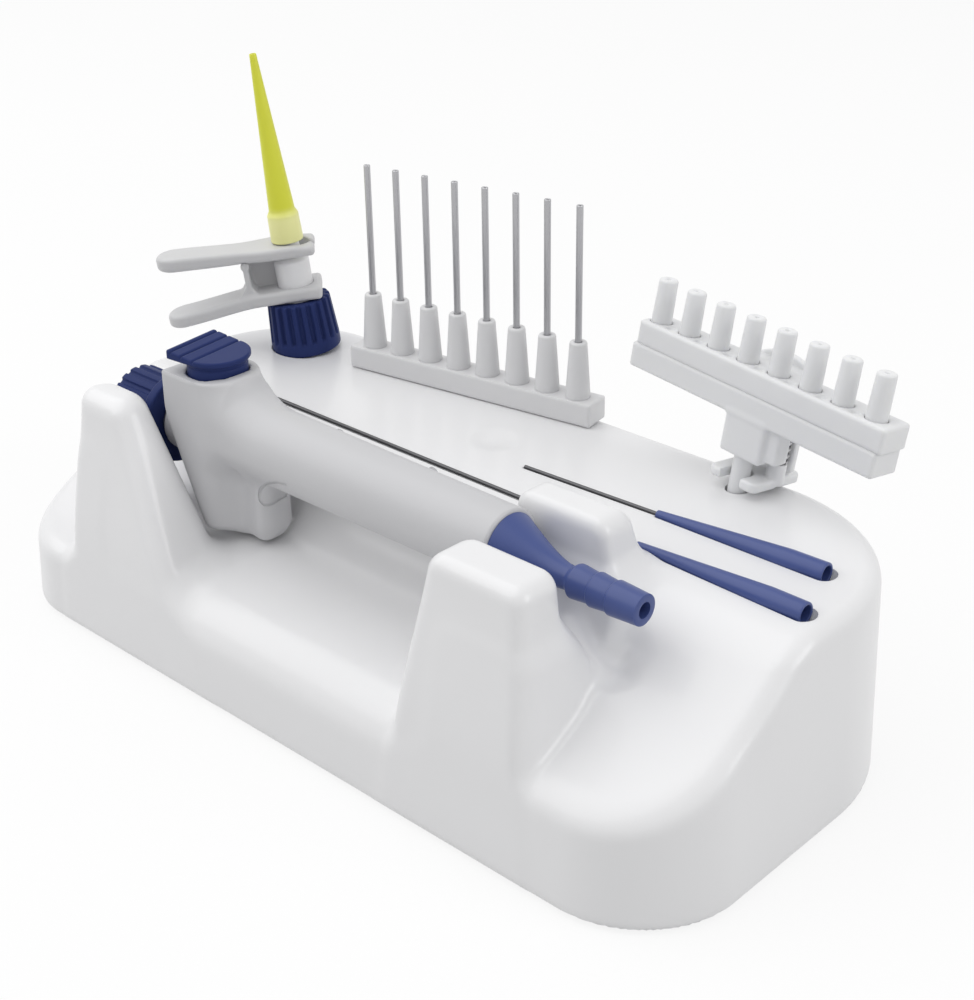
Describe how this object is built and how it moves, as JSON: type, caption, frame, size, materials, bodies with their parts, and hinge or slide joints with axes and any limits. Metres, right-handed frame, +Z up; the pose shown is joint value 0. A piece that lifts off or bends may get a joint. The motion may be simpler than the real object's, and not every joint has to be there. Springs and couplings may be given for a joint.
{
  "type": "pipette set",
  "caption": "Desk stand with a suction handset, a single-tip adapter with ejector clamp, a needle manifold, a row adapter with ejector comb and loose needles.",
  "frame": {"origin": "on the table under the middle of the stand", "axes": "+X along the stand towards the hose end, -Y towards the user, +Z up"},
  "size_m": [0.22, 0.108, 0.1314],
  "materials": {
    "stand_white": "glossy white moulding",
    "steel": "drawn stainless steel",
    "foot_rubber": "black rubber",
    "seal_rubber": "black seal rubber",
    "housing_grey": "satin light grey",
    "navy_plastic": "dark navy, satin",
    "blue_plastic": "medium blue",
    "milky_plastic": "milky translucent white",
    "clamp_grey": "pale grey",
    "yellow_plastic": "translucent yellow"
  },
  "bodies": {
    "stand": {"stand_shell": "stand_white", "base_plate": "stand_white", "base_screws": "steel", "rubber_feet": "foot_rubber"},
    "handset": {"handset_front_shell": "housing_grey", "handset_rear_shell": "housing_grey", "housing_screws": "steel", "button_spring": "steel", "valve_body": "milky_plastic", "nose_socket": "housing_grey", "nose_seal": "seal_rubber", "suction_tube": "milky_plastic", "hose_connector": "blue_plastic", "connector_o_ring": "seal_rubber"},
    "button": {"push_button": "navy_plastic", "valve_plunger": "milky_plastic", "plunger_seals": "seal_rubber"},
    "nut": {"nose_nut": "navy_plastic"},
    "single_adapter": {"fluted_collar": "navy_plastic", "tip_cone": "clamp_grey", "collar_o_ring": "seal_rubber", "ejector_lower_arm": "clamp_grey"},
    "ejector_arm": {"ejector_upper_arm": "clamp_grey"},
    "tip": {"pipette_tip": "yellow_plastic"},
    "manifold": {"manifold_bar": "clamp_grey", "manifold_needles": "steel", "manifold_plugs": "clamp_grey", "manifold_spigot": "clamp_grey", "manifold_o_ring": "seal_rubber"},
    "row_adapter": {"row_adapter_bar": "milky_plastic", "row_adapter_plugs": "milky_plastic", "row_adapter_o_ring": "seal_rubber", "comb_guide_pin": "steel", "comb_spring": "steel"},
    "comb": {"ejector_comb": "milky_plastic"},
    "short_needle": {"short_needle_hub": "blue_plastic", "short_needle_tube": "steel"},
    "long_needle": {"long_needle_hub": "blue_plastic", "long_needle_tube": "steel"}
  },
  "joints": [
    {"name": "handset_lift", "type": "slide", "parent": "stand", "child": "handset", "axis": [0, 0, 1], "range_m": [0, 0.06]},
    {"name": "button_press", "type": "slide", "parent": "handset", "child": "button", "axis": [0, 0, -1], "range_m": [0, 0.002], "stiffness_N_per_m": 400, "springref_m": -0.003, "deforming": ["button_spring"]},
    {"name": "nose_nut_turn", "type": "hinge", "parent": "handset", "child": "nut", "pos_m": [-0.073, -0.024, 0.053], "axis": [1, 0, 0], "range_deg": [0, 180]},
    {"name": "single_lift", "type": "slide", "parent": "stand", "child": "single_adapter", "axis": [-0.0839, -0.0931, 0.9921], "range_m": [0, 0.02]},
    {"name": "ejector_squeeze", "type": "hinge", "parent": "single_adapter", "child": "ejector_arm", "pos_m": [-0.09237, 0.02118, 0.07555], "axis": [0.7431, -0.6691, 0], "range_deg": [0, 14], "stiffness_Nm_per_rad": 0.3, "springref_deg": -1.72},
    {"name": "tip_eject", "type": "slide", "parent": "single_adapter", "child": "tip", "axis": [-0.0839, -0.0931, 0.9921], "range_m": [0, 0.0038]},
    {"name": "manifold_lift", "type": "slide", "parent": "stand", "child": "manifold", "axis": [0.0042, -0.0258, 0.9997], "range_m": [0, 0.02]},
    {"name": "row_lift", "type": "slide", "parent": "stand", "child": "row_adapter", "axis": [0.0738, 0.1144, 0.9907], "range_m": [0, 0.02]},
    {"name": "comb_slide", "type": "slide", "parent": "row_adapter", "child": "comb", "axis": [0.0738, 0.1144, 0.9907], "range_m": [0, 0.004], "stiffness_N_per_m": 150, "springref_m": -0.002, "deforming": ["comb_spring"]},
    {"name": "short_needle_lift", "type": "slide", "parent": "stand", "child": "short_needle", "axis": [0, 0, 1], "range_m": [0, 0.04]},
    {"name": "long_needle_lift", "type": "slide", "parent": "stand", "child": "long_needle", "axis": [0, 0, 1], "range_m": [0, 0.04]}
  ],
  "couplings": [
    {"joint": "tip_eject", "follows": "ejector_squeeze", "m_per_rad": 0.0148}
  ]
}
